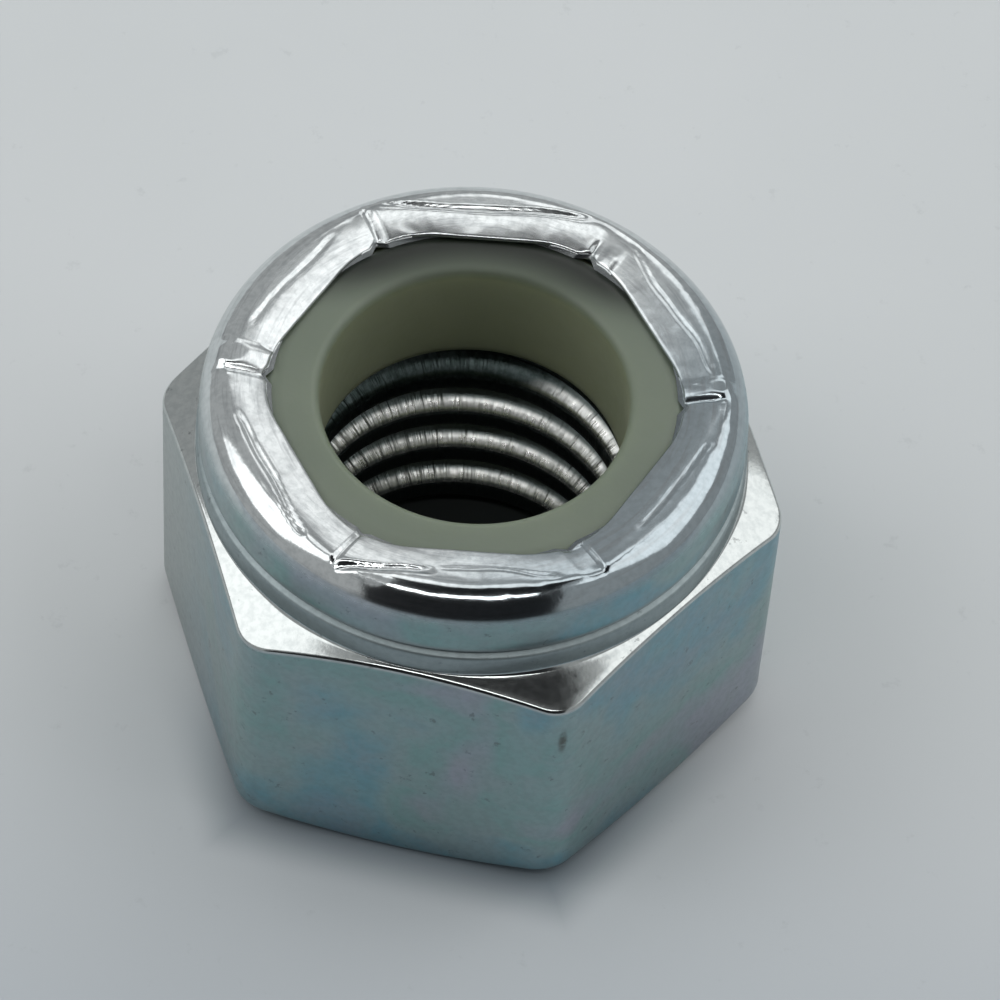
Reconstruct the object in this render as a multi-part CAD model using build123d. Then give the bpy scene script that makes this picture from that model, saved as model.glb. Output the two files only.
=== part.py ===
from build123d import *
import math
import os

# A nylon insert lock nut, 3/8-16, in millimetres.
# The origin is the centre of the bearing face. +Z runs up the thread axis, towards the insert,
# and one corner of the hexagon points along +X.

# Hexagon: the two chamfers are cones, so each flat ends in a curved edge
side_count = 6
across_flats = 14.2875
corner_rounding = 1.05
bearing_diameter = 13.5
foot_chamfer_angle = 20.0
crown_chamfer_angle = 23.0
crown_diameter = 14.0

# Collar: a plain band on the crown, a rolled neck, then the wall that is crimped over the insert
band_height = 0.65
neck_depth = 0.15
neck_height = 0.25
collar_diameter = 13.86
shoulder_radius = 1.0
ridge_diameter = 11.9

# Heights above the bearing face
crown_height = 8.25
nut_height = 10.85
cavity_floor_height = 7.1
insert_top_height = 10.5

# Crimped lip: six flaps are pressed flat and meet in creases
flap_count = 6
first_crease_angle = 10.0
lip_opening = 9.9
press_diameter = 11.6
lip_corner_rounding = 2.5
lip_rim_thickness = 0.2
crease_width = 0.7
crease_depth = 0.35

# Ring cavity, and the insert that fills it
cavity_diameter = 11.1
cavity_edge_chamfer = 0.45
insert_bore = 7.8
insert_mouth_rounding = 0.25

# Tapped hole: a right-hand thread with 60 degrees between its flanks, and a shallow countersink.
# The start height is that of the root on +X. The groove's tool overlaps the hole a little.
thread_pitch = 1.5875
thread_minor_diameter = 8.16
thread_depth = 0.6825
thread_start_height = 0.508
flank_angle = 30.0
tool_overlap = 0.15
countersink_depth = 0.21
countersink_angle = 60.0


def rise(run, angle):
    """Height that a slope at this angle climbs over this run."""
    return run * math.tan(math.radians(angle))


def hexagon_bar():
    """A length of bar with rounded corners, one corner on +X."""
    outline = RegularPolygon(across_flats / 2, side_count, major_radius=False)
    outline = fillet(outline.vertices(), corner_rounding)
    return extrude(outline, nut_height)


def forged_profile():
    """Half section of the solid forging: chamfers, crown band, rolled neck and collar."""
    reach = across_flats / 2 / math.cos(math.pi / side_count)
    bearing_radius = bearing_diameter / 2
    crown_radius = crown_diameter / 2
    collar_radius = collar_diameter / 2
    ridge_radius = ridge_diameter / 2
    foot_chamfer_top = rise(reach - bearing_radius, foot_chamfer_angle)
    crown_chamfer_foot = crown_height - rise(reach - crown_radius, crown_chamfer_angle)
    band_top = crown_height + band_height
    wall_foot = band_top + neck_height
    shoulder_foot = nut_height - shoulder_radius
    sides = Polyline(
        (0, nut_height),
        (0, 0),
        (bearing_radius, 0),
        (reach, foot_chamfer_top),
        (reach, crown_chamfer_foot),
        (crown_radius, crown_height),
        (crown_radius, band_top),
        (collar_radius - neck_depth, band_top + neck_height / 2),
        (collar_radius, wall_foot),
        (collar_radius, shoulder_foot),
    )
    shoulder = EllipticalCenterArc(
        (ridge_radius, shoulder_foot),
        collar_radius - ridge_radius,
        shoulder_radius,
        start_angle=0,
        arc_size=90,
    )
    top = Line((ridge_radius, nut_height), (0, nut_height))
    return make_face(Plane.XZ * (sides + shoulder + top))


def ring_cavity():
    """The pocket behind the lip. The lip bends in over the insert, so the ceiling's edge is chamfered."""
    pocket = extrude(Circle(cavity_diameter / 2), insert_top_height - cavity_floor_height)
    pocket = chamfer(pocket.edges().group_by(Axis.Z)[-1], cavity_edge_chamfer)
    return Pos(0, 0, cavity_floor_height) * pocket


def flap_angles():
    """Directions of the creases between the flaps."""
    return [first_crease_angle + 360 / flap_count * k for k in range(flap_count)]


def lip_hexagon(inner_radius, height):
    """A hexagon at this height, with its corners in line with the creases."""
    outline = RegularPolygon(inner_radius, flap_count, major_radius=False)
    return Pos(0, 0, height) * Rot(0, 0, first_crease_angle) * outline


def pressed_flats():
    """The six-sided press slopes the flaps down to the rim. It is drawn twice as high as they are."""
    rim_height = insert_top_height + lip_rim_thickness
    drop = nut_height - rim_height
    spread = (press_diameter - lip_opening) / 2
    foot = lip_hexagon(lip_opening / 2, rim_height)
    head = lip_hexagon(lip_opening / 2 + 2 * spread, rim_height + 2 * drop)
    return loft([foot, head])


def lip_hole():
    """The opening inside the flaps, where the insert shows. It runs out past the top of the lip."""
    outline = lip_hexagon(lip_opening / 2, insert_top_height)
    outline = fillet(outline.vertices(), lip_corner_rounding)
    return extrude(outline, nut_height)


def crease():
    """One notch across the lip, where two flaps meet. It points along +X."""
    inner = insert_bore / 2
    outer = collar_diameter / 2
    notch = Polyline(
        (-crease_width / 2, nut_height),
        (0, nut_height - crease_depth),
        (crease_width / 2, nut_height),
        close=True,
    )
    return Pos(inner, 0, 0) * extrude(make_face(Plane.YZ * notch), outer - inner, dir=(1, 0, 0))


def tapping_hole():
    """The hole through the web, with the countersink that leads the bolt in."""
    hole_radius = thread_minor_diameter / 2
    mouth_radius = hole_radius + rise(countersink_depth, countersink_angle)
    centred = (Align.CENTER, Align.CENTER, Align.MIN)
    mouth = Cone(mouth_radius, hole_radius, countersink_depth, align=centred)
    return extrude(Circle(hole_radius), cavity_floor_height) + mouth


def thread_turn(height):
    """One turn of the groove, whose root leaves +X at this height."""
    root_radius = thread_minor_diameter / 2 + thread_depth
    mouth_radius = thread_minor_diameter / 2 - tool_overlap
    root_half = thread_pitch / 16
    mouth_half = root_half + rise(root_radius - mouth_radius, flank_angle)
    groove = Polyline(
        (mouth_radius, height - mouth_half),
        (root_radius, height - root_half),
        (root_radius, height + root_half),
        (mouth_radius, height + mouth_half),
        close=True,
    )
    path = Helix(thread_pitch, thread_pitch, root_radius, center=(0, 0, height))
    return sweep(make_face(Plane.XZ * groove), path=path, is_frenet=True)


def cut_thread(body):
    """Cuts the groove turn by turn, from under the bearing face to above the cavity's floor."""
    first_turn = thread_start_height - 2 * thread_pitch
    turn_count = math.ceil((cavity_floor_height - first_turn) / thread_pitch) + 1
    for turn in range(turn_count):
        body = body - thread_turn(first_turn + turn * thread_pitch)
    return body


def make_nut_body():
    body = revolve(forged_profile(), Axis.Z) & hexagon_bar()
    body = body - ring_cavity() - tapping_hole() - pressed_flats() - lip_hole()
    body = cut_thread(body)
    for angle in flap_angles():
        body = body - Rot(0, 0, angle) * crease()
    return body


def make_nylon_insert():
    """The ring fills the cavity face to face, and its mouth is rounded."""
    ring = ring_cavity()
    bore = Pos(0, 0, cavity_floor_height) * Circle(insert_bore / 2)
    ring = ring - extrude(bore, insert_top_height - cavity_floor_height)
    mouth = ring.edges().filter_by(GeomType.CIRCLE).group_by(Axis.Z)[-1]
    mouth = mouth.sort_by(SortBy.RADIUS)[0]
    return fillet(mouth, insert_mouth_rounding)


os.makedirs("parts", exist_ok=True)
export_step(make_nut_body(), "parts/nut_body.step")
export_step(make_nylon_insert(), "parts/nylon_insert.step")
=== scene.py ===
# %% [markdown]
# # A nylon insert lock nut
# A lock nut of this kind is a forged steel hexagon with a thin collar on top. A nylon ring sits
# in the collar, and a six-sided press folds the collar's edge in over the ring, so the lip ends
# in six flaps with a crease between each two. The ring is a little smaller than the bolt, and
# grips it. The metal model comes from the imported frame. This lesson dresses it: the steel body
# becomes one closed grid whose shape follows a rule, so Geometry Nodes make it, and the crimped
# flaps get the folds and nicks that a press leaves.

# %% Frame, lengths and the CAD box
import math

import bpy
import numpy as np
from mathutils import Matrix, Vector


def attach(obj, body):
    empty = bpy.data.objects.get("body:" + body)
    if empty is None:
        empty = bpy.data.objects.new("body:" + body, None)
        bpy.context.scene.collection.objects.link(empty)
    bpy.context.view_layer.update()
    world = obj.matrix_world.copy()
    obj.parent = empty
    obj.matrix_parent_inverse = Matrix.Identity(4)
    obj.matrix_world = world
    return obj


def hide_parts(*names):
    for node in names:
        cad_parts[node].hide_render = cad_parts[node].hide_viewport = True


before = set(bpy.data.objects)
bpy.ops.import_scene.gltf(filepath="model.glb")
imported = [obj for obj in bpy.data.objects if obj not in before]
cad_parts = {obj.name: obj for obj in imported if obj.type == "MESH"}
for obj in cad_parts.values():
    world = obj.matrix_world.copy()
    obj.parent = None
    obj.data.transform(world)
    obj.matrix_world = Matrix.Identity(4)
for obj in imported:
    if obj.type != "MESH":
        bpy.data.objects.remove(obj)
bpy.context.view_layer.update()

MM = 0.001
TURN = 2 * math.pi


# %% [markdown]
# Both the shape rules and the finishes are sums and products, and a node tree is a slow way to
# write a sum. A small class wraps a socket instead, and the usual operators add the Math nodes.
# Any other node comes from one method, which takes its type, its settings and what goes into its
# sockets.

# %% A socket that can be added and multiplied
class Value:
    def __init__(self, graph, socket):
        self.graph = graph
        self.socket = socket

    def math(self, operation, *others):
        inputs = dict(enumerate((self, *others)))
        return self.graph.node("ShaderNodeMath", {"operation": operation}, inputs)

    def __add__(self, other):
        return self.math("ADD", other)

    def __sub__(self, other):
        return self.math("SUBTRACT", other)

    def __rsub__(self, other):
        return (self * -1.0) + other

    def __mul__(self, other):
        return self.math("MULTIPLY", other)

    def __truediv__(self, other):
        return self.math("DIVIDE", other)

    __radd__ = __add__
    __rmul__ = __mul__

    def step(self, low, high):
        """0 below low, 1 above high, and a smooth climb between them."""
        inputs = {"Value": self, "From Min": low, "From Max": high}
        return self.graph.node("ShaderNodeMapRange", {"interpolation_type": "SMOOTHSTEP"}, inputs)

    def mix(self, first, second):
        """first where this value is 0, second where it is 1."""
        return (second - first) * self + first


class Graph:
    def __init__(self, tree):
        self.tree = tree

    def node(self, kind, settings=None, inputs=None, output=0):
        made = self.tree.nodes.new(kind)
        for name, value in (settings or {}).items():
            if name == "stops":
                self.set_stops(made.color_ramp, value)
            else:
                setattr(made, name, value)
        for name, value in (inputs or {}).items():
            if isinstance(value, Value):
                self.tree.links.new(value.socket, made.inputs[name])
            else:
                made.inputs[name].default_value = value
        return Value(self, made.outputs[output]) if len(made.outputs) else None

    @staticmethod
    def set_stops(ramp, stops):
        while len(ramp.elements) < len(stops):
            ramp.elements.new(0.5)
        for element, (place, colour) in zip(ramp.elements, stops):
            element.position = place
            element.color = (*colour, 1.0)

    def parts(self, vector):
        """The x, y and z of a vector."""
        first = self.node("ShaderNodeSeparateXYZ", None, {"Vector": vector})
        outputs = first.socket.node.outputs
        return [Value(self, outputs[k]) for k in range(3)]

    def colour(self, amount, first, second):
        """Two colours mixed by an amount."""
        made = self.node("ShaderNodeMix", {"data_type": "RGBA"}, {"Factor": amount}, 2)
        for k, value in ((6, first), (7, second)):
            socket = made.socket.node.inputs[k]
            if isinstance(value, Value):
                self.tree.links.new(value.socket, socket)
            else:
                socket.default_value = (*value, 1.0)
        return made


# %% [markdown]
# ## The nut's section
# A lathe would turn most of this nut, so its shape starts as a section: a loop of rows from the
# bearing face, out and up the side, over the lip, down inside and back through the thread. Each
# row is two straight-line rules. Its radius is a + b H + c L, where H is the hexagon's radius in
# that direction and L is the lip opening's, and its height is d + e times that radius. A chamfer
# is then one rule all round, and its curved edge on each flat comes by itself.

# %% Sizes of the nut, in millimetres
across_flats = 14.2875
corner_rounding = 1.05
bearing_radius = 6.75
foot_angle = 20.0
crown_angle = 23.0
foot_slope = math.tan(math.radians(foot_angle))
crown_slope = math.tan(math.radians(crown_angle))
crown_radius = 7.0
crown_height = 8.25
band_top = 8.9
neck_depth = 0.15
neck_height = 0.25
collar_radius = 6.93
ridge_radius = 5.95
shoulder_foot = 9.85
nut_height = 10.85
shoulder_top = 10.87
flap_roll = 0.06
seat_height = 7.1
insert_top = 10.5
cavity_radius = 5.55
lip_radius = 4.95
lip_rounding = 2.8
rim_height = 10.71
pitch = 1.5875
minor_radius = 4.08
major_radius = 4.7625
countersink_radius = 4.444
countersink_slope = math.tan(math.radians(60.0))
thread_turned = -0.23
flap_count = 6
columns = 600

# Roundings of the edges that the section turns
bearing_edge = 0.5
flat_foot_edge = 0.3
chamfer_edge = 0.14
band_edge = 0.12


# %% The rows of the section
class Section:
    """Rows of a turned shape. A rule is (a, b, c) for the radius and (d, e) for the height."""

    def __init__(self):
        self.rows = []

    def add(self, radius, height, drop=0.0, pressed=0.0, threaded=0.0):
        radius = radius if isinstance(radius, tuple) else (radius, 0.0, 0.0)
        height = height if isinstance(height, tuple) else (height, 0.0)
        self.rows.append((radius, (*height, drop), (pressed, threaded, 0.0)))

    def mesh(self, name):
        """Loose points, one a row, that carry the rules. The first row closes the loop."""
        rows = self.rows + self.rows[:1]
        made = bpy.data.meshes.new(name)
        made.from_pydata([(0.0, 0.0, 0.0)] * len(rows), [], [])
        units = {"radius_rule": (MM, 1, 1), "height_rule": (MM, 1, MM), "zone": (1, 1, 1)}
        for k, (label, unit) in enumerate(units.items()):
            layer = made.attributes.new(label, "FLOAT_VECTOR", "POINT")
            values = np.array([row[k] for row in rows], np.float32) * np.array(unit, np.float32)
            layer.data.foreach_set("vector", values.ravel())
        return made


def edge_arc(first_slope_deg, second_slope_deg, size, steps):
    """Offsets (outward, upward) that round a convex edge, from one straight to the next."""
    first = math.radians(first_slope_deg)
    second = math.radians(second_slope_deg)
    half = abs(second - first) / 2
    reach = size * math.tan(half)
    offsets = []
    for k in range(steps + 1):
        angle = first + (second - first) * k / steps
        start = (-reach * math.cos(first), -reach * math.sin(first))
        outward = size * (math.sin(angle) - math.sin(first))
        upward = -size * (math.cos(angle) - math.cos(first))
        offsets.append((start[0] + outward, start[1] + upward))
    return offsets


body = Section()
for radius in (5.2, 5.9, 6.5):
    body.add(radius, 0.0)
for out, up in edge_arc(0, foot_angle, bearing_edge, 4):
    body.add(bearing_radius + out, up)
foot_rule = (-bearing_radius * foot_slope, foot_slope)
crown_rule = (crown_height + crown_radius * crown_slope, -crown_slope)
foot_arc = edge_arc(foot_angle, 90, flat_foot_edge, 5)
crown_arc = edge_arc(90, 180 - crown_angle, chamfer_edge, 6)
for share in (0.3, 0.7):
    body.add((bearing_radius * (1 - share) + foot_arc[0][0] * share, share, 0.0), foot_rule)
for out, up in foot_arc:
    body.add((out, 1.0, 0.0), foot_rule, up - out * foot_slope)
for height in (1.0, 1.8, 3.2, 4.6, 6.0, 7.0, 7.3):
    body.add((0.0, 1.0, 0.0), height)
for out, up in crown_arc:
    body.add((out, 1.0, 0.0), crown_rule, up + out * crown_slope)
for share in (0.75, 0.5, 0.25, 0.1):
    body.add((crown_radius * (1 - share) + crown_arc[-1][0] * share, share, 0.0), crown_rule)
body.add(crown_radius + 0.004, crown_height + 0.01)
body.add(crown_radius, crown_height + 0.1)
body.add(crown_radius, band_top - 0.3)
for out, up in edge_arc(90, 150, band_edge, 4):
    body.add(crown_radius + out, band_top + up)
neck_middle = band_top + neck_height / 2
body.add(collar_radius - neck_depth + 0.02, neck_middle - 0.03)
body.add(collar_radius - neck_depth, neck_middle)
body.add(collar_radius - neck_depth + 0.02, neck_middle + 0.03)
for out, up in ((-0.05, -0.07), (-0.02, -0.02), (0.0, 0.06), (0.0, 0.3)):
    body.add(collar_radius + out, band_top + neck_height + up)
shoulder_steps = 22
for k in range(shoulder_steps + 1):
    angle = math.pi / 2 * k / shoulder_steps
    radius = ridge_radius + (collar_radius - ridge_radius) * math.cos(angle)
    height = shoulder_foot + (shoulder_top - shoulder_foot) * math.sin(angle)
    body.add(radius, height, pressed=1.0)
flap_steps = 18
for k in range(1, flap_steps + 1):
    share = k / flap_steps
    radius_rule = (ridge_radius * (1 - share), 0.0, share)
    body.add(radius_rule, shoulder_top, -flap_roll * share**2, pressed=1.0)
print("rows so far:", len(body.rows))

# %% The rim, the cavity and the thread
body.add((-0.03, 0.0, 1.0), shoulder_top, -flap_roll - 0.02, pressed=1.0)
body.add((-0.05, 0.0, 1.0), shoulder_top, -flap_roll - 0.06, pressed=1.0)
body.add((-0.05, 0.0, 1.0), insert_top + 0.07)
body.add((-0.02, 0.0, 1.0), insert_top + 0.02)
body.add((0.05, 0.0, 1.0), insert_top)
body.add(cavity_radius - 0.45, insert_top)
body.add(cavity_radius, insert_top - 0.45)
body.add(cavity_radius, 9.0)
body.add(cavity_radius, seat_height + 0.05)
body.add(cavity_radius - 0.05, seat_height)
body.add(5.2, seat_height)
rows_per_turn = 12
thread_rows = int(math.ceil((seat_height + 2 * pitch) / pitch * rows_per_turn))
for k in range(thread_rows, -1, -1):
    body.add(minor_radius, -pitch + k * pitch / rows_per_turn, threaded=1.0)
print("rows of the nut's section:", len(body.rows), "of them on the thread:", thread_rows + 1)


# %% [markdown]
# ## The tree that turns a section into a nut
# The tree makes a grid of rows by columns, reads each row's rules from the section, and moves
# every point to its place: an angle round the axis, a radius and a height. The hexagon, the lip
# opening and the six pressed flats are worked out from the angle. The thread's rows climb one
# pitch a turn and stop at both faces, so that the grid follows the helix. Merging the seams
# closes the surface.

# %% Rules of the angle
flank_angle = 30.0
root_rounding = 0.06
crest_rounding = 0.1
lead_out_depth = 0.12
lip_turned = 10.0
ridge_rounding = 0.14
crease_rounding = 0.05
merge_distance = 0.001


def rounded_hexagon(angle, apothem, rounding, turned):
    """Radius of a hexagon with rounded corners, at an angle. A corner points along turned."""
    sixth = TURN / 6
    across = ((angle - turned) / sixth).math("FRACT")
    off_flat = (across - 0.5).math("ABSOLUTE") * sixth
    off_corner = (off_flat * -1.0) + sixth / 2
    straight = apothem / off_flat.math("COSINE")
    centre = (apothem - rounding) / math.cos(sixth / 2)
    sideways = centre * off_corner.math("SINE")
    inside = rounding * rounding - sideways * sideways
    arc = centre * off_corner.math("COSINE") + inside.math("SQRT")
    tangent = (rounding * 0.5).math("ARCTAN2", centre + rounding * math.cos(sixth / 2))
    on_corner = off_corner.math("LESS_THAN", tangent)
    return on_corner.mix(straight, arc)


def thread_radius(angle, height, inputs):
    """Radius of the tapped hole: flat crests, sloped flanks, narrow roots, a lead at each end."""
    along = height / inputs["Pitch"] - angle / TURN - inputs["Thread turned"]
    off_crest = (along.math("FRACT") - 0.5).math("ABSOLUTE") * inputs["Pitch"]
    root_half = inputs["Pitch"] / 16
    depth = inputs["Thread depth"]
    off_root = 0.5 * inputs["Pitch"] - off_crest - root_half
    flank = depth - off_root * (1 / math.tan(math.radians(flank_angle)))
    groove = flank.math("SMOOTH_MIN", depth, root_rounding * MM)
    groove = groove.math("SMOOTH_MAX", 0.0, crest_rounding * MM)
    wall = inputs["Minor radius"] + groove
    lead_in = inputs["Lead radius"] - height * countersink_slope
    lead_out = inputs["Lead out radius"] - (inputs["Seat"] - height)
    return wall.math("MAXIMUM", lead_in).math("MAXIMUM", lead_out)


# %% The nut tree
def nut_tree():
    tree = bpy.data.node_groups.new("turned and pressed nut", "GeometryNodeTree")
    graph = Graph(tree)
    names = {}

    def socket(name, kind, default=None):
        made = tree.interface.new_socket(name, in_out="INPUT", socket_type=kind)
        if default is not None:
            made.default_value = default
        names[name] = made.identifier

    socket("Section", "NodeSocketGeometry")
    socket("Columns", "NodeSocketInt", columns)
    for name, size in (
        ("Hexagon apothem", across_flats / 2),
        ("Corner rounding", corner_rounding),
        ("Lip radius", lip_radius),
        ("Lip rounding", lip_rounding),
        ("Pitch", pitch),
        ("Minor radius", minor_radius),
        ("Thread depth", major_radius - minor_radius),
        ("Lead radius", countersink_radius),
        ("Lead out radius", minor_radius + lead_out_depth),
        ("Seat", seat_height),
        ("Ridge rounding", ridge_rounding),
    ):
        socket(name, "NodeSocketFloat", size * MM)
    socket("Thread turned", "NodeSocketFloat", thread_turned)
    for k in range(flap_count):
        socket(f"Flap {k + 1} direction", "NodeSocketFloat", 0.0)
        socket(f"Flap {k + 1} slope", "NodeSocketFloat", 0.0)
        socket(f"Flap {k + 1} height", "NodeSocketFloat", 0.0)
    socket("Material", "NodeSocketMaterial")
    tree.interface.new_socket("Geometry", in_out="OUTPUT", socket_type="NodeSocketGeometry")

    source = tree.nodes.new("NodeGroupInput")
    inputs = {name: Value(graph, source.outputs[name]) for name in names}
    section = {"Geometry": inputs["Section"]}
    count = graph.node("GeometryNodeAttributeDomainSize", {"component": "MESH"}, section)
    across = inputs["Columns"] + 1.0
    grid = graph.node("GeometryNodeMeshGrid", None, {"Vertices X": count, "Vertices Y": across})
    index = graph.node("GeometryNodeInputIndex")
    row = ((index + 0.5) / across).math("FLOOR")
    column = index - row * across
    angle = column / inputs["Columns"] * TURN

    def rule(name):
        kind = {"data_type": "FLOAT_VECTOR"}
        label = graph.node("GeometryNodeInputNamedAttribute", kind, {"Name": name})
        settings = {"data_type": "FLOAT_VECTOR", "domain": "POINT"}
        sample = {"Geometry": inputs["Section"], "Value": label, "Index": row}
        return graph.parts(graph.node("GeometryNodeSampleIndex", settings, sample))

    plain, hexagon_share, lip_share = rule("radius_rule")
    level, slope, drop = rule("height_rule")
    pressed, threaded, _ = rule("zone")
    hexagon = rounded_hexagon(angle, inputs["Hexagon apothem"], inputs["Corner rounding"], 0.0)
    turned = math.radians(lip_turned)
    lip = rounded_hexagon(angle, inputs["Lip radius"], inputs["Lip rounding"], turned)
    radius = plain + hexagon_share * hexagon + lip_share * lip
    height = level + slope * radius

    funnel = None
    for k in range(flap_count):
        direction = inputs[f"Flap {k + 1} direction"]
        reach = radius * (angle - direction).math("COSINE")
        climb = (reach - inputs["Lip radius"]) * inputs[f"Flap {k + 1} slope"]
        plane = inputs[f"Flap {k + 1} height"] + climb
        if funnel is None:
            funnel = plane
        else:
            funnel = funnel.math("SMOOTH_MAX", plane, crease_rounding * MM)
    crimped = height.math("SMOOTH_MIN", funnel, inputs["Ridge rounding"])
    height = pressed.mix(height, crimped) + drop

    climbing = level + angle * inputs["Pitch"] / TURN
    thread_height = climbing.math("MAXIMUM", 0.0).math("MINIMUM", inputs["Seat"])
    wall = thread_radius(angle, thread_height, inputs)
    radius = threaded.mix(radius, wall)
    height = threaded.mix(height, thread_height)

    place = {"X": radius * angle.math("COSINE"), "Y": radius * angle.math("SINE"), "Z": height}
    place = graph.node("ShaderNodeCombineXYZ", None, place)
    shape = graph.node("GeometryNodeSetPosition", None, {"Geometry": grid, "Position": place})
    merged = {"Geometry": shape, "Distance": merge_distance * MM}
    shape = graph.node("GeometryNodeMergeByDistance", None, merged)
    shape = graph.node("GeometryNodeSetShadeSmooth", None, {0: shape})
    shape = graph.node("GeometryNodeRealizeInstances", None, {0: shape})
    dressed = {"Geometry": shape, "Material": inputs["Material"]}
    shape = graph.node("GeometryNodeSetMaterial", None, dressed)
    result = tree.nodes.new("NodeGroupOutput")
    tree.links.new(shape.socket, result.inputs[0])
    return tree, names


turning, turning_names = nut_tree()
print("nodes in the nut tree:", len(turning.nodes))


# %% [markdown]
# A tree's result is made a plain mesh before anything else uses it. The evaluated object gives
# it, and then the modifier goes.

# %% Baking a tree into a mesh
def bake(name, section, tree, names, values):
    made = bpy.data.objects.new(name, section)
    bpy.context.scene.collection.objects.link(made)
    modifier = made.modifiers.new("shape", "NODES")
    modifier.node_group = tree
    for label, value in values.items():
        modifier[names[label]] = value
    bpy.context.view_layer.update()
    graph = bpy.context.evaluated_depsgraph_get()
    mesh = bpy.data.meshes.new_from_object(made.evaluated_get(graph), depsgraph=graph)
    made.modifiers.clear()
    made.data = mesh
    for label in ("radius_rule", "height_rule", "zone", "UVMap"):
        if label in mesh.attributes:
            mesh.attributes.remove(mesh.attributes[label])
    print(name, "has", len(mesh.vertices), "points and", len(mesh.polygons), "faces")
    return made


def face_outwards(piece):
    """Turns the faces out if the mesh's volume comes out negative."""
    mesh = piece.data
    mesh.calc_loop_triangles()
    corners = np.empty(len(mesh.loop_triangles) * 3, np.int32)
    mesh.loop_triangles.foreach_get("vertices", corners)
    place = np.empty(len(mesh.vertices) * 3, np.float32)
    mesh.vertices.foreach_get("co", place)
    place = place.reshape(-1, 3).astype(float) / MM
    a, b, c = (place[corners.reshape(-1, 3)[:, k]] for k in range(3))
    volume = float(np.einsum("ij,ij->i", a, np.cross(b, c)).sum()) / 6
    if volume < 0:
        mesh.flip_normals()
    print(piece.name, "volume", round(abs(volume), 1), "cubic mm, faces turned:", volume < 0)


# %% [markdown]
# ## Finishes
# The steel is zinc plated and passivated. The passivate is a thin clear film, so it shows faint
# blue, green and pink tints on a satin grey, with a fine speckle. Where the press rubbed the lip,
# the zinc is brighter and smoother. Some light and shade is painted into the colour: the film is
# lighter on one side, the lip darker on one side, the plain band lighter, the bore darker with its
# first turn under the insert darker still, and the thread's edges carry a painted highlight. The
# bore is scored along its length.

# %% Helpers for finishes
front_x, front_y = 0.167, -0.986


def new_material(name):
    made = bpy.data.materials.new(name)
    made.use_nodes = True
    made.node_tree.nodes.clear()
    return made, Graph(made.node_tree)


def finish_material(graph, shader):
    graph.node("ShaderNodeOutputMaterial", None, {"Surface": shader})


def place_in_mm(graph):
    """Object coordinates in millimetres."""
    where = graph.node("ShaderNodeTexCoord", None, None, "Object")
    inputs = {"Vector": where, "Scale": 1 / MM}
    return graph.node("ShaderNodeVectorMath", {"operation": "SCALE"}, inputs)


def noise(graph, where, scale, detail=3.0, roughness=0.5, distortion=0.0):
    inputs = {"Vector": where, "Scale": scale, "Detail": detail}
    inputs.update({"Roughness": roughness, "Distortion": distortion})
    return graph.node("ShaderNodeTexNoise", None, inputs)


def toward_front(x, y):
    """How far a point lies toward the front, where the viewer stands, in mm."""
    return y * front_y + x * front_x


def stretched_noise(graph, x, y, z, detail):
    """Noise of size 1 in a space that is stretched by whoever calls this."""
    where = graph.node("ShaderNodeCombineXYZ", None, {"X": x, "Y": y, "Z": z})
    return noise(graph, where, 1.0, detail, 0.6)


# %% [markdown]
# The zinc is one material, and masks say where the chamfers, the plain band, the lip and the bore
# are. Each mask is 0 or 1 with a short climb between them, and follows from the height and the
# distance from the axis.

# %% Zinc
film_tints = [
    (0.32, (0.25, 0.39, 0.47)),
    (0.42, (0.22, 0.41, 0.47)),
    (0.50, (0.31, 0.44, 0.45)),
    (0.58, (0.26, 0.43, 0.42)),
    (0.68, (0.38, 0.41, 0.47)),
]
cloud_tint = (0.36, 0.41, 0.43)
painted_light_side_tint = (0.42, 0.46, 0.45)
rubbed_tint = (0.74, 0.77, 0.77)
painted_dark_side_tint = (0.44, 0.50, 0.53)
smear_tint = (0.36, 0.38, 0.39)
chamfer_tint = (0.58, 0.61, 0.60)
painted_band_light_tint = (0.36, 0.42, 0.43)
bore_shade_tint = (0.13, 0.155, 0.15)
top_turn_shade_tint = (0.04, 0.055, 0.052)
edge_highlight_tint = (0.96, 0.96, 0.93)
pit_tint = (0.12, 0.13, 0.13)
speckle_tint = (0.20, 0.24, 0.25)
stain_tint = (0.07, 0.05, 0.035)

# Where each mask climbs from 0 to 1: pairs of radii or heights in mm
outside_radii = (6.3, 6.6)
lip_radii = (4.6, 4.8)
lip_fade_radii = (6.75, 6.95)
rolled_radii = (5.9, 6.3)
bore_radii = (4.85, 4.95)
lip_heights = (9.9, insert_top)
top_turn_shade_heights = (5.3, 5.8)

# The stain, the polish and the relief
stain_middle = (4.0, -6.9, 6.5)
stain_half_size = (0.16, 0.16, 0.70)
satin_roughness = 0.36
rubbed_roughness = 0.24
edge_highlight_roughness = 0.27
grain_depth = 0.02
score_depth = 0.05


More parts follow.
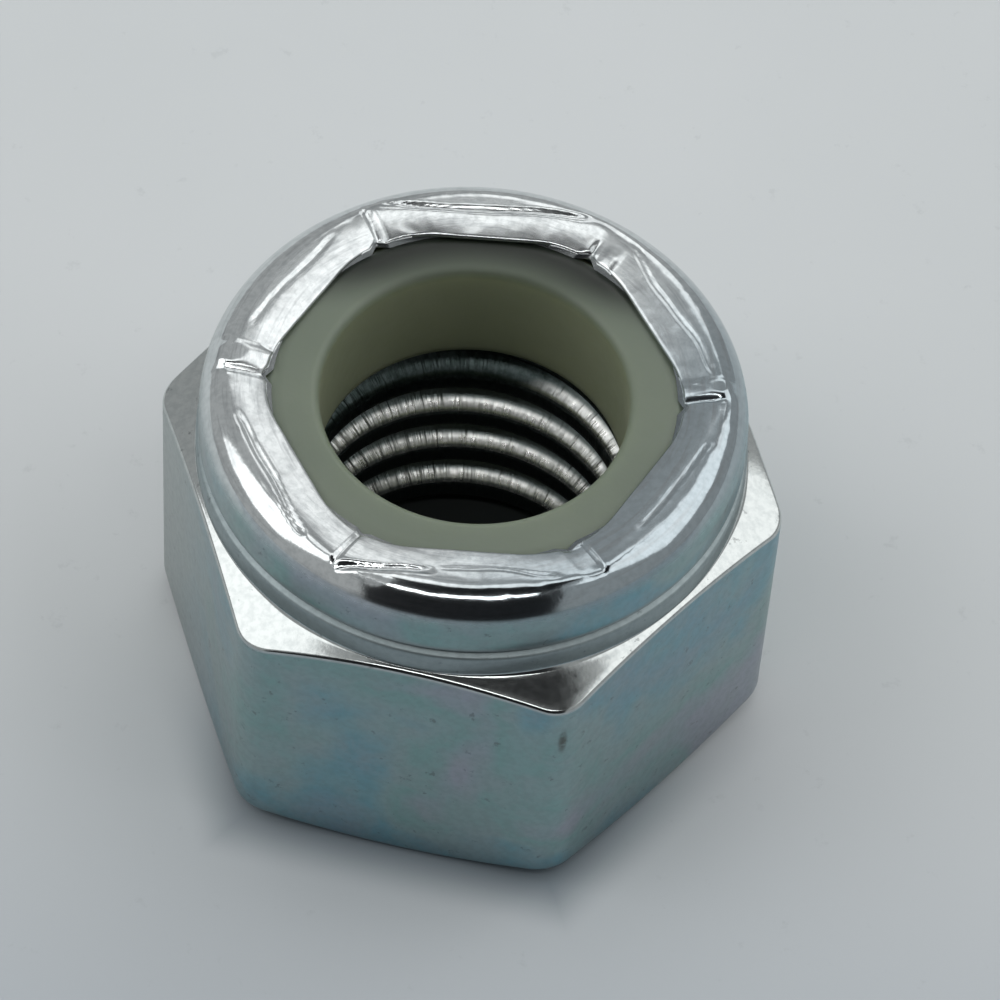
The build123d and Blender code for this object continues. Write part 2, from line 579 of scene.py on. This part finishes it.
def zinc_material():
    made, graph = new_material("zinc with clear passivate")
    where = place_in_mm(graph)
    x, y, z = graph.parts(where)
    around = (x * x + y * y).math("SQRT")
    bearing = y.math("ARCTAN2", x)

    # The film, with its cloudy patches, and painted light that makes one side lighter and greyer
    film_noise = noise(graph, where, 0.20, 3.0, 0.5, 0.4)
    film = graph.node("ShaderNodeValToRGB", {"stops": film_tints}, {"Fac": film_noise})
    cloudy = noise(graph, where, 0.8, 4.0, 0.65, 0.5)
    film = graph.colour(cloudy.step(0.35, 0.65) * 0.45, film, cloud_tint)
    painted_light_side = (x * -0.14 + y * 0.05 - 0.1).step(0.0, 1.0)
    film = graph.colour(painted_light_side, film, painted_light_side_tint)

    # Masks
    outside = around.step(*outside_radii)
    cone = around * crown_slope + z - crown_slope * crown_radius
    chamfer = cone.step(crown_height - 0.13, crown_height - 0.05) * outside
    chamfer = chamfer * (1.0 - z.step(crown_height + 0.01, crown_height + 0.09))
    band = outside * z.step(crown_height + 0.03, crown_height + 0.09)
    band = band * (1.0 - z.step(band_top + 0.3, band_top + 0.4))
    lip = z.step(*lip_heights) * around.step(*lip_radii)
    lip = lip * (1.0 - around.step(*lip_fade_radii) * 0.5)
    rolled = lip * around.step(*rolled_radii)
    shiny = lip.math("MAXIMUM", chamfer)
    inside = 1.0 - around.step(*bore_radii)
    inside = inside * (1.0 - z.step(seat_height, seat_height + 0.1))
    # Painted shade: the thread's first turn under the insert is near black, and its edge leans
    # across the nut.
    top_turn_shade = (z - x.math("MAXIMUM", 0.0) * 0.3).step(*top_turn_shade_heights)
    # Painted highlight: the thread's edges are near white, in streaks along the bore.
    edge_highlight = around.step(minor_radius + 0.01, minor_radius + 0.04) * inside
    edge_highlight = edge_highlight * (1.0 - around.step(minor_radius + 0.22, minor_radius + 0.38))
    streaks = stretched_noise(graph, bearing * 26.0, z * 0.5, around * 0.5, 3.0)
    edge_highlight = edge_highlight * (1.0 - top_turn_shade) * (0.6 + streaks.step(0.30, 0.62) * 0.4)

    # Colours, from the film up
    smears = stretched_noise(graph, bearing * 3.0, around * 7.0, z * 7.0, 4.0)
    # Painted shade: the lip's bright rubbed zinc turns darker toward one side.
    painted_dark_side = (x * 0.9 - y * 0.3).step(0.5, 5.0)
    rubbed = graph.colour(painted_dark_side, rubbed_tint, painted_dark_side_tint)
    rubbed = graph.colour(smears.step(0.45, 0.7) * 0.5, rubbed, smear_tint)
    base = graph.colour(lip, film, rubbed)
    base = graph.colour(chamfer, base, chamfer_tint)
    # Painted light: the plain band is painted lighter than the film round it.
    base = graph.colour(band, base, painted_band_light_tint)
    # Painted shade: the bore's thread is darker than the zinc outside, and its first turn darker
    # still.
    base = graph.colour(inside, base, graph.colour(top_turn_shade, bore_shade_tint, top_turn_shade_tint))
    base = graph.colour(edge_highlight, base, edge_highlight_tint)
    speckle = noise(graph, where, 5.0, 2.0, 0.6)
    pits = noise(graph, where, 2.6, 4.0, 0.7).step(0.62, 0.70)
    base = graph.colour(pits * (1.0 - lip) * (1.0 - inside) * 0.5, base, pit_tint)
    base = graph.colour(speckle.step(0.35, 0.7) * 0.20, base, speckle_tint)

    # A small brown stain under the front corner
    off_x, off_y, off_z = (
        (along - centre) / half_size
        for along, centre, half_size in zip((x, y, z), stain_middle, stain_half_size)
    )
    off_stain = off_x * off_x + off_y * off_y + off_z * off_z
    stain = (1.0 - off_stain.step(0.2, 1.3)) * speckle.step(0.2, 0.5)
    base = graph.colour(stain * 0.85, base, stain_tint)

    rough = shiny.mix(satin_roughness, rubbed_roughness) - rolled * 0.13 - chamfer * 0.11
    rough = rough + band * 0.12 + (speckle - 0.5) * 0.10
    rough = edge_highlight.mix(rough, edge_highlight_roughness)

    # Relief: the grain of the plating first, then the scores along the bore on top of it
    grain = speckle * (1.0 - shiny * 0.6) * 0.5
    grain = grain + noise(graph, where, 1.2, 3.0) * (1.0 - shiny) * 1.2
    plated = {"Height": grain, "Strength": 0.3, "Distance": grain_depth * MM}
    plated = graph.node("ShaderNodeBump", None, plated)
    scored = {"Height": streaks * inside, "Strength": 1.0, "Distance": score_depth * MM}
    scored = graph.node("ShaderNodeBump", None, {**scored, "Normal": plated})
    shader = {"Base Color": base, "Metallic": 1.0, "Roughness": rough, "Normal": scored}
    finish_material(graph, graph.node("ShaderNodeBsdfPrincipled", None, shader))
    return made


# %% [markdown]
# Nylon lets light in a little way. The far side of the ring's top lies under the lip, and it is
# painted darker as painted shade, most of all at the lip's edge.

# %% Nylon
nylon_tints = (0.13, 0.16, 0.12), (0.17, 0.20, 0.15)
painted_bore_wall_tints = (0.21, 0.24, 0.155), (0.27, 0.29, 0.19)
painted_far_shade_tints = (0.085, 0.105, 0.075), (0.008, 0.012, 0.007)
nylon_grain_depth = 0.03
light_depth = 1.2


def nylon_material():
    made, graph = new_material("natural nylon")
    where = place_in_mm(graph)
    x, y, z = graph.parts(where)
    around = (x * x + y * y).math("SQRT")
    cloud = noise(graph, where, 0.5, 3.0)
    # Painted shade: the far side of the ring's top is darker, most of all toward the lip's edge.
    painted_far_shade = (toward_front(x, y) * -1.0).step(2.2, 3.9)
    shaded = graph.colour(around.step(3.8, 4.85), *painted_far_shade_tints)
    top = graph.colour(painted_far_shade, graph.colour(cloud, *nylon_tints), shaded)
    # Painted light: the bore's wall is the same nylon but gets a lighter, more olive tint than the
    # top.
    bore_wall = graph.colour(cloud, *painted_bore_wall_tints)
    base = graph.colour(z.step(insert_top - 0.35, insert_top - 0.05), bore_wall, top)
    grain = noise(graph, where, 3.0, 3.0)
    relief = {"Height": grain, "Strength": 0.2, "Distance": nylon_grain_depth * MM}
    shader = {
        "Base Color": base,
        "Roughness": grain * 0.15 + 0.35,
        "Subsurface Weight": 0.6,
        "Subsurface Radius": (1.0, 1.0, 0.7),
        "Subsurface Scale": light_depth * MM,
        "IOR": 1.53,
        "Normal": graph.node("ShaderNodeBump", None, relief),
    }
    finish_material(graph, graph.node("ShaderNodeBsdfPrincipled", None, shader))
    return made


zinc = zinc_material()
nylon = nylon_material()
print("finishes:", zinc.name, "and", nylon.name)

# %% [markdown]
# ## The steel body
# The six flaps are pressed one by one, so each has its own direction and slope. The planes meet
# in the creases.

# %% Turning and pressing the body
crease_angles = [10.5, 70.5, 131.0, 186.0, 250.5, 310.0]
flap_slopes = [0.18, 0.20, 0.20, 0.18, 0.176, 0.19]
press = {"Columns": columns, "Material": zinc}
for k, start in enumerate(crease_angles):
    end = crease_angles[k + 1] if k + 1 < flap_count else crease_angles[0] + 360
    press[f"Flap {k + 1} direction"] = math.radians((start + end) / 2)
    press[f"Flap {k + 1} slope"] = flap_slopes[k]
    press[f"Flap {k + 1} height"] = rim_height * MM
nut = bake("nut_zinc_body", body.mesh("nut section"), turning, turning_names, press)
face_outwards(nut)


# %% [markdown]
# The creases are folds in metal, and no two are alike. Each is a groove with a short wall and a
# long one, which starts at the rim and fades out on the shoulder, and the rim is notched where it
# starts. The press also leaves a line inside each ridge, and rubs the flaps uneven. All of this
# is moved into the finished mesh, point by point, as a sculptor would.

# %% Points of the lip
def points_of(piece):
    place = np.empty(len(piece.data.vertices) * 3, np.float32)
    piece.data.vertices.foreach_get("co", place)
    return place.reshape(-1, 3).astype(float) / MM


def set_points(piece, place):
    piece.data.vertices.foreach_set("co", (place * MM).astype(np.float32).ravel())
    piece.data.update()


def waves(place, size, seed, count=24):
    """A smooth uneven field from -1 to 1, with bumps of about this size in mm."""
    draw = np.random.default_rng(seed)
    directions = draw.normal(size=(count, 3))
    directions /= np.linalg.norm(directions, axis=1)[:, None]
    lengths = TURN / (size * draw.uniform(0.7, 1.6, count))
    phases = draw.uniform(0, TURN, count)
    return np.sin(place @ (directions * lengths[:, None]).T + phases).sum(axis=1) / math.sqrt(count)


def smooth(value, low, high):
    share = np.clip((value - low) / (high - low), 0, 1)
    return share * share * (3 - 2 * share)


place = points_of(nut)
radius = np.hypot(place[:, 0], place[:, 1])
angle = np.degrees(np.arctan2(place[:, 1], place[:, 0]))
top_side = smooth(place[:, 2], insert_top + 0.02, insert_top + 0.12)
press_rub = top_side * (1 - smooth(radius, 6.3, 6.8))
for rub_depth, rub_size, seed in ((0.010, 1.1, 11), (0.002, 0.4, 12)):
    place[:, 2] -= rub_depth * press_rub * np.clip(waves(place, rub_size, seed), 0, 1)
print("points on the lip:", int((top_side > 0.5).sum()))


# %% Folds between the flaps
def offset_from(direction):
    """Sideways distance in mm from a line that runs out from the axis, anticlockwise positive."""
    off = (angle - direction + 180) % 360 - 180
    return np.where(np.abs(off) < 40, radius * np.sin(np.radians(off)), 99.0)


def fold(direction, clockwise_run, anticlockwise_run, depth, start, end, slant=0.0):
    """Presses a groove. Its walls are as wide as the runs, and it fades out from start to end."""
    aside = offset_from(direction) - slant * (radius - lip_radius)
    run = np.where(aside < 0, clockwise_run, anticlockwise_run)
    wall = np.clip(1 - np.abs(aside) / run, 0, 1)
    fade = 1 - smooth(radius, start, end)
    place[:, 2] -= depth * wall * fade * top_side


def bulge(direction, half_width, height, start, end):
    """Raises a rounded fold across the lip."""
    aside = offset_from(direction)
    hump = 1 - smooth(np.abs(aside), 0.35 * half_width, half_width)
    fade = smooth(radius, start - 0.3, start) * (1 - smooth(radius, end - 0.4, end))
    place[:, 2] += height * hump * fade * top_side


def notch(direction, half_width, depth):
    """Cuts a small V into the rim, seen from above."""
    aside = offset_from(direction)
    amount = depth * np.clip(1 - np.abs(aside) / half_width, 0, 1)
    amount = amount * (1 - smooth(radius, 5.1, 5.5))
    on_lip = (place[:, 2] > insert_top - 0.02) & (radius > 4.7)
    move = np.where(on_lip, amount, 0) / np.maximum(radius, 1)
    place[:, 0] *= 1 + move
    place[:, 1] *= 1 + move


fold(11.4, 0.06, 0.08, 0.12, 5.95, 6.3)
fold(17.5, 0.05, 0.07, 0.04, 5.5, 5.8, slant=-0.3)
fold(69.6, 0.07, 0.12, 0.10, 5.5, 5.9)
fold(131.0, 0.30, 0.08, 0.10, 6.0, 6.5, slant=-0.05)
fold(189.3, 0.10, 0.16, 0.06, 6.2, 6.8)
fold(181.0, 0.05, 0.07, 0.08, 5.3, 5.6)
fold(250.7, 0.09, 0.07, 0.10, 6.2, 6.6)
fold(313.2, 0.62, 0.08, 0.11, 6.0, 6.5)
bulge(185.2, 0.48, 0.09, 5.1, 6.9)
bulge(14.8, 0.34, 0.07, 5.0, 6.6)
bulge(64.5, 0.30, 0.04, 5.0, 5.9)
notch(10.0, 0.22, 0.16)
notch(70.0, 0.30, 0.26)
notch(131.5, 0.25, 0.22)
notch(189.0, 0.25, 0.18)
notch(251.0, 0.20, 0.10)
notch(309.0, 0.30, 0.14)
set_points(nut, place)
print("creases with their folds and notches:", len(crease_angles))


# %% Lines that the press leaves inside each ridge
def press_line(flap, reach, width, depth, half_length, middle):
    """A shallow line across a flap, at this reach from the axis along the flap's direction."""
    direction = math.radians(flap)
    out = place[:, 0] * math.cos(direction) + place[:, 1] * math.sin(direction)
    along = place[:, 1] * math.cos(direction) - place[:, 0] * math.sin(direction)
    uneven = 0.05 * waves(place, 1.6, int(flap))
    line = 1 - smooth(np.abs(out - reach - uneven), 0.3 * width, width)
    ends = 1 - smooth(np.abs(along - middle), half_length - 0.5, half_length)
    facing = out > 4.5
    place[:, 2] -= np.where(facing, depth * line * ends * top_side, 0)


press_lines = [
    (280.25, 5.72, 0.14, 0.10, 1.35, -1.95),
    (280.25, 5.60, 0.10, 0.03, 1.7, 0.9),
    (340.25, 5.75, 0.09, 0.04, 1.8, 0.3),
    (40.5, 5.65, 0.10, 0.04, 2.4, 0.0),
    (100.75, 5.68, 0.12, 0.06, 2.9, 0.0),
    (158.5, 5.70, 0.10, 0.04, 2.0, 0.0),
    (218.25, 5.80, 0.12, 0.07, 2.2, 0.4),
]
for line in press_lines:
    press_line(*line)
place[:, 2] = np.minimum(place[:, 2], nut_height)
set_points(nut, place)
print("press lines:", len(press_lines))
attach(nut, "root")
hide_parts("nut_body")

# %% [markdown]
# ## The nylon insert
# The ring is turned by the same tree, with no hexagon, thread or flaps in its rows. It stands a
# hair clear of the steel, so that the two surfaces don't fight.

# %% Turning the insert
ring = Section()
gap = 0.01
bore = 3.9
mouth_rounding = 0.25
ring_columns = 360
for radius_mm, height_mm in (
    (bore + 0.25, seat_height),
    (cavity_radius - gap - 0.1, seat_height),
    (cavity_radius - gap, seat_height + 0.1),
    (cavity_radius - gap, 9.0),
    (cavity_radius - gap, insert_top - 0.46),
    (cavity_radius - gap - 0.45, insert_top - 0.01),
    (4.8, insert_top),
    (4.6, insert_top),
    (4.4, insert_top),
):
    ring.add(radius_mm, height_mm)
for out, up in edge_arc(180, 270, mouth_rounding, 8):
    ring.add(bore + out, insert_top + up)
for height_mm in (9.9, 9.4, 8.8, 8.2, 7.7, 7.4):
    ring.add(bore, height_mm)
for out, up in ((0.03, 0.12), (0.1, 0.03)):
    ring.add(bore + out, seat_height + up)
values = {"Columns": ring_columns, "Material": nylon}
insert = bake("nylon_ring", ring.mesh("ring section"), turning, turning_names, values)
face_outwards(insert)
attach(insert, "root")
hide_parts("nylon_insert")

# %% [markdown]
# ## Floor, light and camera
# The nut stands on a pale sheet, in a soft room. Two large windows light it from the left and the
# right, and two smaller ones from above and behind. In front hangs a dark flag, because plated
# steel looks like metal only where it mirrors something dark beside something bright. A narrow
# lamp just above the flag picks out the worn edges of the thread. The room is darker where metal
# mirrors it than where it lights the paper.

# %% Floor
paper_tints = (0.545, 0.572, 0.577), (0.595, 0.615, 0.622)
front_shade_tint = (0.405, 0.44, 0.47)
shade_tint = (0.13, 0.165, 0.19)
speck_tint = (0.30, 0.32, 0.33)
hole_shadow_tint = (0.03, 0.035, 0.035)
floor_half = 1.5

# Where painted shade darkens the sheet: toward the front, round the foot and under the hole, in mm
front_shade_reach = (-2.0, 20.0)
shade_reach = (6.9, 8.6)
hole_shadow_reach = (4.3, 5.5)

floor_material, graph = new_material("pale paper")
where = place_in_mm(graph)
mottle = noise(graph, where, 0.08, 4.0)
sheet = graph.colour(mottle, *paper_tints)
x, y, _ = graph.parts(where)
# Painted shade: the sheet darkens toward the front.
sheet = graph.colour(toward_front(x, y).step(*front_shade_reach), sheet, front_shade_tint)

# Painted shadow round the foot follows the hexagon: the greatest distance from the three lines
# across flats
flat_angles = (TURN / 12, TURN / 4, TURN * 5 / 12)
across = [(x * math.cos(a) + y * math.sin(a)).math("ABSOLUTE") for a in flat_angles]
from_flats = across[0].math("MAXIMUM", across[1]).math("MAXIMUM", across[2])
off_axis = (x * x + y * y).math("SQRT")
in_front = (toward_front(x, y) / off_axis).step(0.1, 1.0)
painted_foot_shadow = (1.0 - from_flats.step(*shade_reach)) * in_front
sheet = graph.colour(painted_foot_shadow * 0.85, sheet, shade_tint)
specks = noise(graph, where, 1.1, 4.0, 0.7).step(0.62, 0.72)
sheet = graph.colour(specks * 0.16, sheet, speck_tint)
# Painted shadow: the sheet is near black under the nut's hole.
sheet = graph.colour(1.0 - off_axis.step(*hole_shadow_reach), sheet, hole_shadow_tint)
paper = {"Base Color": sheet, "Roughness": 0.9, "Specular IOR Level": 0.2}
finish_material(graph, graph.node("ShaderNodeBsdfPrincipled", None, paper))
corners = [(floor_half * a, floor_half * b, 0) for a, b in ((-1, -1), (1, -1), (1, 1), (-1, 1))]
floor_mesh = bpy.data.meshes.new("paper")
floor_mesh.from_pydata(corners, [], [(0, 1, 2, 3)])
floor_mesh.materials.append(floor_material)
floor = bpy.data.objects.new("paper_floor", floor_mesh)
bpy.context.scene.collection.objects.link(floor)
print("floor is", 2 * floor_half, "m wide")


# %% Lamps and world
window_distance = 0.6
slot_distance = 0.28
lamp_target = Vector((0, 0, 0.005))
room_tint = (0.70, 0.715, 0.725)
mirrored_room_tint = (0.40, 0.41, 0.415)


def soft_box(name, azimuth, elevation, distance, width, height, level):
    """A rectangular lamp aimed at the nut. level is its face's brightness, where 1 is white."""
    lamp = bpy.data.lights.new(name, "AREA")
    lamp.shape = "RECTANGLE"
    lamp.size = width
    lamp.size_y = height
    lamp.energy = level * 4 * width * height
    made = bpy.data.objects.new(name, lamp)
    a, e = math.radians(azimuth), math.radians(elevation)
    toward = Vector((math.cos(a) * math.cos(e), math.sin(a) * math.cos(e), math.sin(e)))
    made.location = toward * distance
    made.rotation_euler = (made.location - lamp_target).to_track_quat("Z", "Y").to_euler()
    bpy.context.scene.collection.objects.link(made)
    return made


soft_box("left_window", 190, 47, window_distance, 0.42, 0.46, 1.0)
soft_box("right_window", 25, 48, window_distance, 0.56, 0.44, 0.85)
soft_box("top_window", 100, 78, window_distance, 0.34, 0.26, 0.85)
soft_box("back_window", 90, 36, window_distance, 0.26, 0.24, 0.70)
soft_box("slot_above_flag", 279.6, 66, slot_distance, 0.17, 0.026, 5.0)
world = bpy.data.worlds.new("studio")
world.use_nodes = True
world.node_tree.nodes.clear()
graph = Graph(world.node_tree)
mirrored = graph.node("ShaderNodeLightPath", None, None, "Is Glossy Ray")
room = graph.colour(mirrored, room_tint, mirrored_room_tint)
sky = graph.node("ShaderNodeBackground", None, {"Color": room, "Strength": 1.0})
graph.node("ShaderNodeOutputWorld", None, {"Surface": sky})
bpy.context.scene.world = world

# %% The flag in front of the nut
flag_distance = 0.3
flag_half_width = 0.19
flag_foot_angle = -2
flag_span = 98 + 2
left_trim, right_trim = 0.13, 0.09
flag_steps = 12
camera_azimuth = 9.6
turn = Matrix.Rotation(math.radians(camera_azimuth), 3, "Z")

flag_material, graph = new_material("black flag")
dark = {"Base Color": (0.02, 0.02, 0.022, 1.0), "Roughness": 0.9}
finish_material(graph, graph.node("ShaderNodeBsdfPrincipled", None, dark))
flag_points, flag_faces = [], []
for k in range(flag_steps + 1):
    rise = math.radians(flag_foot_angle + flag_span * k / flag_steps)
    spine = Vector((0, -math.cos(rise), math.sin(rise))) * flag_distance
    high = max(0.0, math.sin(rise)) ** 4
    flag_points.append(spine + Vector((-flag_half_width + left_trim * high, 0, 0)))
    flag_points.append(spine + Vector((flag_half_width - right_trim * high, 0, 0)))
for k in range(flag_steps):
    flag_faces.append((2 * k, 2 * k + 1, 2 * k + 3, 2 * k + 2))
flag_mesh = bpy.data.meshes.new("flag")
flag_mesh.from_pydata([turn @ point for point in flag_points], [], flag_faces)
flag_mesh.materials.append(flag_material)
flag = bpy.data.objects.new("black_flag", flag_mesh)
bpy.context.scene.collection.objects.link(flag)
flag.visible_camera = False
flag.visible_transmission = False
print("flag has", len(flag_faces), "faces")

# %% Camera
elevation = math.radians(53.8895)
roll = math.radians(4.33187)
aim_height = 0.4
distance_in_flats = 9.77933
shift_right, shift_up = 0.058842, 0.0104876
sensor_width = 36.0
lens_in_sensors = 5.415045
forward = Vector((0, math.cos(elevation), -math.sin(elevation)))
right = Vector((1, 0, 0))
up = right.cross(forward)
rolled_right = right * math.cos(roll) + up * math.sin(roll)
rolled_up = up * math.cos(roll) - right * math.sin(roll)
aim = Vector((0, 0, aim_height * across_flats))
shift = (rolled_right * shift_right + rolled_up * shift_up) * across_flats
spot = aim - forward * distance_in_flats * across_flats + shift
axes = Matrix((turn @ rolled_right, turn @ rolled_up, turn @ -forward)).transposed()
camera_data = bpy.data.cameras.new("camera")
camera_data.sensor_width = sensor_width
camera_data.lens = lens_in_sensors * sensor_width
camera_data.clip_start = 0.005
camera = bpy.data.objects.new("camera", camera_data)
camera.matrix_world = Matrix.Translation(turn @ spot * MM) @ axes.to_4x4()
bpy.context.scene.collection.objects.link(camera)
bpy.context.scene.camera = camera
bpy.context.scene.view_settings.view_transform = "Standard"
print("camera is", round((turn @ spot).length), "mm away")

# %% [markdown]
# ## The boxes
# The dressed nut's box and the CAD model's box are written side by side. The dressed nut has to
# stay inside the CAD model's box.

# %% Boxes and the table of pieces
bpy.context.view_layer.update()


def plain(corners):
    return [[float(v) for v in corner] for corner in corners]
